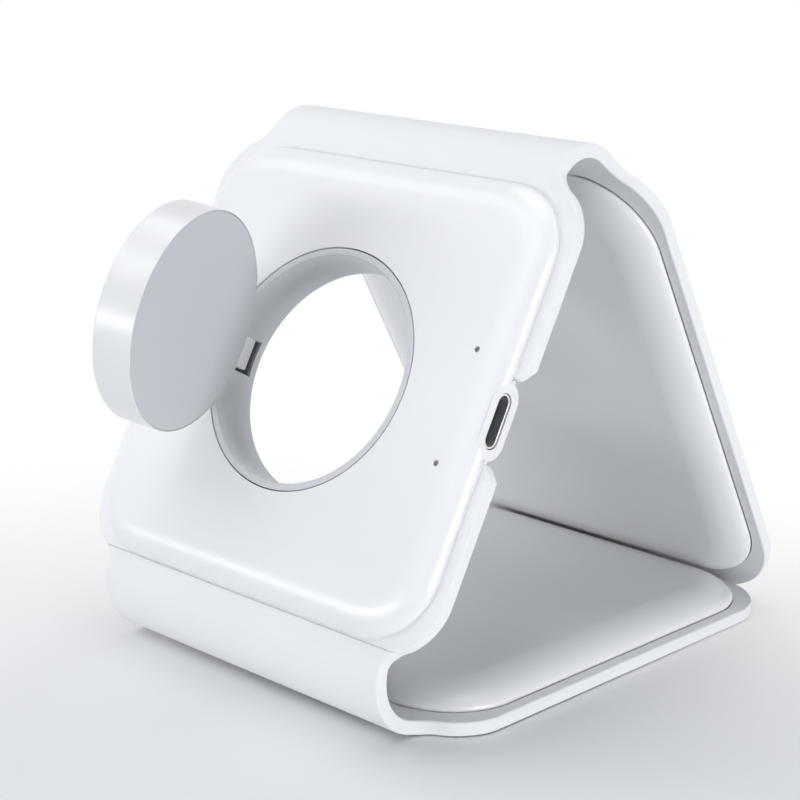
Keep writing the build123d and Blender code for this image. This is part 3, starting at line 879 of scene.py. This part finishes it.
    def build_ring(self) -> None:
        """Build the ring that lines the hole, with its flange and hinge block, and a thin grey lining in the hinge slot
        that is painted shade for the recess.
        """
        inner, outer, edge = self.ring_inner, self.ring_outer, self.ring_edge
        flange, low, high = self.flange
        groove, web = self.ring_groove
        shape = Shape()
        shape.lathe(
            [
                (inner, self.back_face + edge), (inner + edge, self.back_face), (outer, self.back_face),
                (outer, low), (flange, low), (flange, high), (outer + groove, high), (outer + groove, low + web),
                (outer, low + web), (outer, self.ring_front - 0.06),
                (outer - 0.06, self.ring_front), (inner + edge, self.ring_front), (inner, self.ring_front - edge),
            ],
            closed=True, steps=160,
        )
        ring = shape.finish("hole_ring", self.hole.matrix())
        combine(ring, [self.hinge_block()], Cut.JOIN)
        combine(ring, [self.slot_tool()], Cut.REMOVE)
        dress(ring, RING_PLASTIC, "ring", "ring_liner", body=Body.FRONT)

        # Painted shade: a thin grey lining in the hinge slot darkens the recess, where only shade falls.
        pocket = Shape()
        pocket.block((-self.slot_outer, -self.slot_half, self.slot_floor), (-inner - 0.4, self.slot_half, high - 0.3))
        room = Shape()
        wall, half = self.pocket_wall, self.slot_half - self.pocket_wall
        room.block((-self.slot_outer + wall, -half, self.slot_floor + wall), (0.0, half, high + 1.0))
        shade_lining = pocket.finish("hinge_pocket_painted_shade", self.hole.matrix())
        combine(shade_lining, [room.finish("pocket_tool", self.hole.matrix())], Cut.REMOVE)
        dress(shade_lining, POCKET_SHADE_PLASTIC, "tray", body=Body.FRONT)

    def build_port(self) -> None:
        """Build the bezel, the metal shell and the tongue with its contacts."""
        length, width, depth = self.bezel
        mouth, high, run = self.shell
        bezel = self.stadium("port_frame", length, width, -depth, 0.0)
        soften(bezel, lambda e: all(abs(v.co.x / MM - self.bezel_face) < 0.01 for v in e.verts), 0.45, 5)
        combine(
            bezel, [self.stadium("mouth_tool", mouth + 2 * self.gap, high + 2 * self.gap, -depth - 1.0, 1.0)], Cut.REMOVE
        )
        soften(bezel, lambda e: all(abs(v.co.x / MM - self.bezel_face) < 0.01 for v in e.verts), 0.2, 3)
        dress(bezel, BEZEL_PLASTIC, "bezel", "port_bezel", body=Body.FRONT)

        front, back = -self.shell_setback, -self.shell_setback - run
        shell = self.stadium("port_can", mouth, high, back, front)
        wall = 2 * self.shell_wall
        combine(shell, [self.stadium("can_tool", mouth - wall, high - wall, back + self.shell_wall, 1.0)], Cut.REMOVE)
        lip = self.bezel_face + front
        soften(shell, lambda e: all(abs(v.co.x / MM - lip) < 0.01 for v in e.verts), 0.1, 3)
        dress(shell, PORT_STEEL, "port_metal", "port_shell", body=Body.FRONT)

        floor = back + self.shell_wall
        tongue = Shape()
        tongue.block((-3.35, -0.35, floor), (3.35, 0.35, floor + 5.0), 0.12)
        dress(tongue.finish("port_blade", self.port.matrix()), DARK_PLASTIC, "tongue", "port_tongue", body=Body.FRONT)
        contacts = Shape()
        for place in range(12):
            spot = (place - 5.5) * 0.5
            for side in (-0.37, 0.33):
                contacts.block((spot - 0.12, side, floor + 1.2), (spot + 0.12, side + 0.04, floor + 4.6))
        dress(contacts.finish("port_contacts", self.port.matrix()), GOLD, "port_metal", body=Body.FRONT)

    def build_screws(self) -> None:
        """Build the four case screws with cross recesses."""
        radius, height = self.screw_head
        screws = Shape()
        for spot in self.screw_seats():
            screw = Shape()
            screw.lathe([(0.0, 0.0), (radius - 0.25, 0.0), (radius, 0.25), (radius, height), (0.8, height),
                         (0.8, 7.0), (0.0, 7.1)], steps=40)
            bmesh.ops.transform(screw.mesh, matrix=spot.matrix(), verts=screw.mesh.verts)
            data = bpy.data.meshes.new("screw_tool")
            screw.mesh.to_mesh(data)
            screw.mesh.free()
            screws.mesh.from_mesh(data)
            bpy.data.meshes.remove(data)
        piece = screws.finish("cover_screws", Matrix.Identity(4))
        slots = []
        for spot in self.screw_seats():
            for turn in ((0.9, 0.18), (0.18, 0.9)):
                slot = Shape()
                slot.block((-turn[0], -turn[1], -0.5), (turn[0], turn[1], 0.5))
                slots.append(slot.finish("recess_tool", spot.matrix()))
        combine(piece, slots, Cut.REMOVE)
        dress(piece, STEEL, "steel", "case_screws", body=Body.FRONT)


@dataclass
class Puck:
    """The watch puck, swung out of the hole on its hinge lug."""

    module: Module
    radius: float = 18.55
    thickness: float = 7.23
    open_angle: float = math.radians(72.65)
    wall: float = 1.2
    edge: float = 0.6
    dish_radius: float = 14.5
    dish_depth: float = 0.5
    lid_rim: float = 0.15
    lid_thickness: float = 1.0
    lid_gap: float = 0.05
    lug_radius: float = 1.6
    lug_half: float = 2.8

    def __post_init__(self) -> None:
        """Work out the puck's own seat, with the hinge axis as its origin."""
        hole, module = self.module.hole, self.module
        turn, side = self.open_angle, hole.across
        hinge = hole.moved(x=-module.hinge_out, z=module.hinge_height)
        across = side * math.cos(turn) + hole.out * math.sin(turn)
        out = hole.out * math.cos(turn) - side * math.sin(turn)
        self.hinge = Seat(hinge.origin, across, hole.along, out)
        self.axis = self.hinge.moved(x=module.hinge_out)
        self.lid_face = module.front_pad.height - self.thickness - module.hinge_height
        self.charge_face = self.lid_face + self.thickness

    def build(self) -> None:
        """Build and dress the shell and the lid."""
        low, high = self.lid_face, self.charge_face
        seat = low + self.lid_thickness
        rim = self.radius - self.lid_rim
        sphere = (self.dish_radius**2 + self.dish_depth**2) / (2 * self.dish_depth)
        steps = 12
        dish = []
        for place in range(steps + 1):
            reach = self.dish_radius * (1 - place / steps)
            dish.append((reach, high - self.dish_depth + sphere - math.sqrt(sphere**2 - reach**2)))
        round_edge = [
            (self.radius - self.edge * (1 - math.cos(a)), high - self.edge * (1 - math.sin(a)))
            for a in (math.radians(15 * place) for place in range(7))
        ]
        soft = 0.12
        inner = high - self.wall
        shape = Shape()
        shape.lathe(
            [
                (0.0, inner), (self.radius - self.wall, inner), (self.radius - self.wall, seat), (rim, seat),
                (rim, low), (self.radius - soft, low), (self.radius - soft / 4, low + soft / 4),
                (self.radius, low + soft), *round_edge, *dish,
            ],
            steps=160,
        )
        shell = shape.finish("puck_case", self.axis.matrix())
        barrel = Shape()
        barrel.drum(self.lug_radius, -self.lug_half, self.lug_half, 48)
        lying = Seat(self.hinge.origin, self.hinge.across, -self.hinge.out, self.hinge.along)
        arm = Shape()
        root = self.module.hinge_out - self.radius + self.wall / 2
        arm.block((0.0, -self.lug_half, self.lid_face + 0.02), (root, self.lug_half, self.lug_radius), 0.35)
        combine(
            shell,
            [barrel.finish("barrel_tool", lying.matrix()), arm.finish("arm_tool", self.hinge.matrix())],
            Cut.JOIN,
        )
        dress(shell, PUCK_PLASTIC, "puck", "puck_shell", body=Body.PUCK)

        lid = Shape()
        edge = rim - self.lid_gap
        lid.lathe(
            [(0.0, seat - 0.02), (edge, seat - 0.02), (edge, low + soft), (edge - soft, low), (0.0, low)], steps=160
        )
        dress(lid.finish("puck_back", self.axis.matrix()), LID_PLASTIC, "lid", "puck_lid", body=Body.PUCK)


@dataclass
class Studio:
    """Floor, lamps, background and camera."""

    camera_place: tuple[float, float, float] = (0.209939, -0.257751, 0.123719)
    yaw: float = math.radians(41.4)
    pitch: float = math.radians(14.178)
    roll: float = math.radians(2.676)
    lens: float = 84.424
    floor_size: float = 6.0
    floor_colour: tuple[float, float, float] = (0.87, 0.879, 0.892)
    fade_centre: tuple[float, float, float] = (0.07, -0.1, 0.0)
    fade_start: float = 0.07
    fade_stop: float = 0.23
    ambient: float = 0.09
    lamp_colour: tuple[float, float, float] = (0.97, 0.983, 1.0)

    def build(self) -> None:
        """Build everything round the object."""
        self.build_floor()
        self.build_lamps()
        self.build_world()
        self.build_camera()
        bpy.context.scene.view_settings.view_transform = "Standard"

    def build_floor(self) -> None:
        """Build the pale floor, which fades to white away from the object."""
        mesh = bmesh.new()
        bmesh.ops.create_grid(mesh, x_segments=1, y_segments=1, size=self.floor_size / 2)
        data = bpy.data.meshes.new("studio_floor")
        mesh.to_mesh(data)
        mesh.free()
        floor = bpy.data.objects.new("studio_floor", data)
        floor.location.z = -0.0002
        bpy.context.scene.collection.objects.link(floor)
        material = bpy.data.materials.new("pale_floor")
        material.use_nodes = True
        nodes, links = material.node_tree.nodes, material.node_tree.links
        shader = nodes["Principled BSDF"]
        shader.inputs["Base Color"].default_value = (*self.floor_colour, 1.0)
        shader.inputs["Roughness"].default_value = 0.6
        place = nodes.new("ShaderNodeTexCoord")
        reach = nodes.new("ShaderNodeVectorMath")
        reach.operation = "DISTANCE"
        reach.inputs[1].default_value = self.fade_centre
        links.new(place.outputs["Object"], reach.inputs[0])
        fade = nodes.new("ShaderNodeMapRange")
        fade.interpolation_type = "SMOOTHSTEP"
        fade.inputs["From Min"].default_value = self.fade_start
        fade.inputs["From Max"].default_value = self.fade_stop
        links.new(reach.outputs["Value"], fade.inputs["Value"])
        seen = self.seen_rays(nodes, links)
        share = nodes.new("ShaderNodeMath")
        share.operation = "MULTIPLY"
        links.new(fade.outputs["Result"], share.inputs[0])
        links.new(seen, share.inputs[1])
        glow = nodes.new("ShaderNodeEmission")
        mix = nodes.new("ShaderNodeMixShader")
        links.new(share.outputs["Value"], mix.inputs["Fac"])
        links.new(shader.outputs["BSDF"], mix.inputs[1])
        links.new(glow.outputs["Emission"], mix.inputs[2])
        links.new(mix.outputs["Shader"], nodes["Material Output"].inputs["Surface"])
        data.materials.append(material)

    def seen_rays(self, nodes: bpy.types.Nodes, links: bpy.types.NodeLinks) -> bpy.types.NodeSocket:
        """Add nodes that give 1 for camera, glossy and transmission rays."""
        path = nodes.new("ShaderNodeLightPath")
        total = path.outputs["Is Camera Ray"]
        for name in ("Is Glossy Ray", "Is Transmission Ray"):
            add = nodes.new("ShaderNodeMath")
            add.operation = "MAXIMUM"
            links.new(total, add.inputs[0])
            links.new(path.outputs[name], add.inputs[1])
            total = add.outputs["Value"]
        return total

    def build_lamps(self) -> None:
        """Build the lamps: three soft boxes above, a low strip in front and one at the open right side."""
        target = Vector((0.0, -0.01, 0.045))
        for name, place, size, power in (
            ("front_box", (0.0, -0.75, 0.95), (0.9, 0.6), 3.2),
            ("top_box", (-0.1, 0.12, 1.1), (0.9, 0.9), 6.1),
            ("left_box", (-0.75, -0.6, 0.95), (0.7, 0.5), 2.4),
            ("low_strip", (-0.4, -1.0, 0.07), (0.9, 0.12), 3.5),
            ("right_strip", (1.1, -0.03, 0.06), (0.4, 0.11), 6.5),
        ):
            data = bpy.data.lights.new(name, "AREA")
            data.shape, data.energy = "RECTANGLE", power
            data.size, data.size_y = size
            data.color = self.lamp_colour
            lamp = bpy.data.objects.new(name, data)
            lamp.location = place
            lamp.rotation_euler = (target - Vector(place)).to_track_quat("-Z", "Y").to_euler()
            bpy.context.scene.collection.objects.link(lamp)

    def build_world(self) -> None:
        """Build a world that is white where it is seen and a soft grey as light."""
        world = bpy.data.worlds.new("studio")
        world.use_nodes = True
        bpy.context.scene.world = world
        nodes, links = world.node_tree.nodes, world.node_tree.links
        light = nodes["Background"]
        light.inputs["Color"].default_value = (0.88, 0.94, 1.0, 1.0)
        light.inputs["Strength"].default_value = self.ambient
        white = nodes.new("ShaderNodeBackground")
        white.inputs["Color"].default_value = (1.0, 1.0, 1.0, 1.0)
        mix = nodes.new("ShaderNodeMixShader")
        links.new(self.seen_rays(nodes, links), mix.inputs["Fac"])
        links.new(light.outputs["Background"], mix.inputs[1])
        links.new(white.outputs["Background"], mix.inputs[2])
        links.new(mix.outputs["Shader"], nodes["World Output"].inputs["Surface"])

    def build_camera(self) -> None:
        """Set the camera at the photograph's viewing angle."""
        back = Vector((
            math.sin(self.yaw) * math.cos(self.pitch),
            -math.cos(self.yaw) * math.cos(self.pitch),
            math.sin(self.pitch),
        ))
        right = Vector((math.cos(self.yaw), math.sin(self.yaw), 0.0))
        up = back.cross(right)
        level = right * math.cos(self.roll) + up * math.sin(self.roll)
        upright = up * math.cos(self.roll) - right * math.sin(self.roll)
        data = bpy.data.cameras.new("photo_camera")
        data.lens, data.sensor_width = self.lens, 36.0
        data.clip_start, data.clip_end = 0.01, 20.0
        camera = bpy.data.objects.new("photo_camera", data)
        turn = Matrix((level, upright, back)).transposed().to_4x4()
        camera.matrix_world = Matrix.Translation(self.camera_place) @ turn
        bpy.context.scene.collection.objects.link(camera)
        bpy.context.scene.camera = camera


def dress_nodes() -> None:
    """Give the CAD nodes that stay their finishes."""
    for name, finish in NODE_FINISH.items():
        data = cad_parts[name].data
        data.materials.clear()
        data.materials.append(finish.material())
        LOG.info("node %s, %s", name, finish.name)


def main() -> None:
    """Build the charger's looks and the studio round it."""
    logging.basicConfig(level=logging.INFO, format="%(name)s: %(message)s")
    folds = Folds()
    pads = EndPads(folds)
    module = Module(folds)
    Skin(folds).build([*pads.beds, module.bed])
    pads.build()
    module.build()
    Puck(module).build()
    dress_nodes()
    Studio().build()


if __name__ == "__main__":
    main()
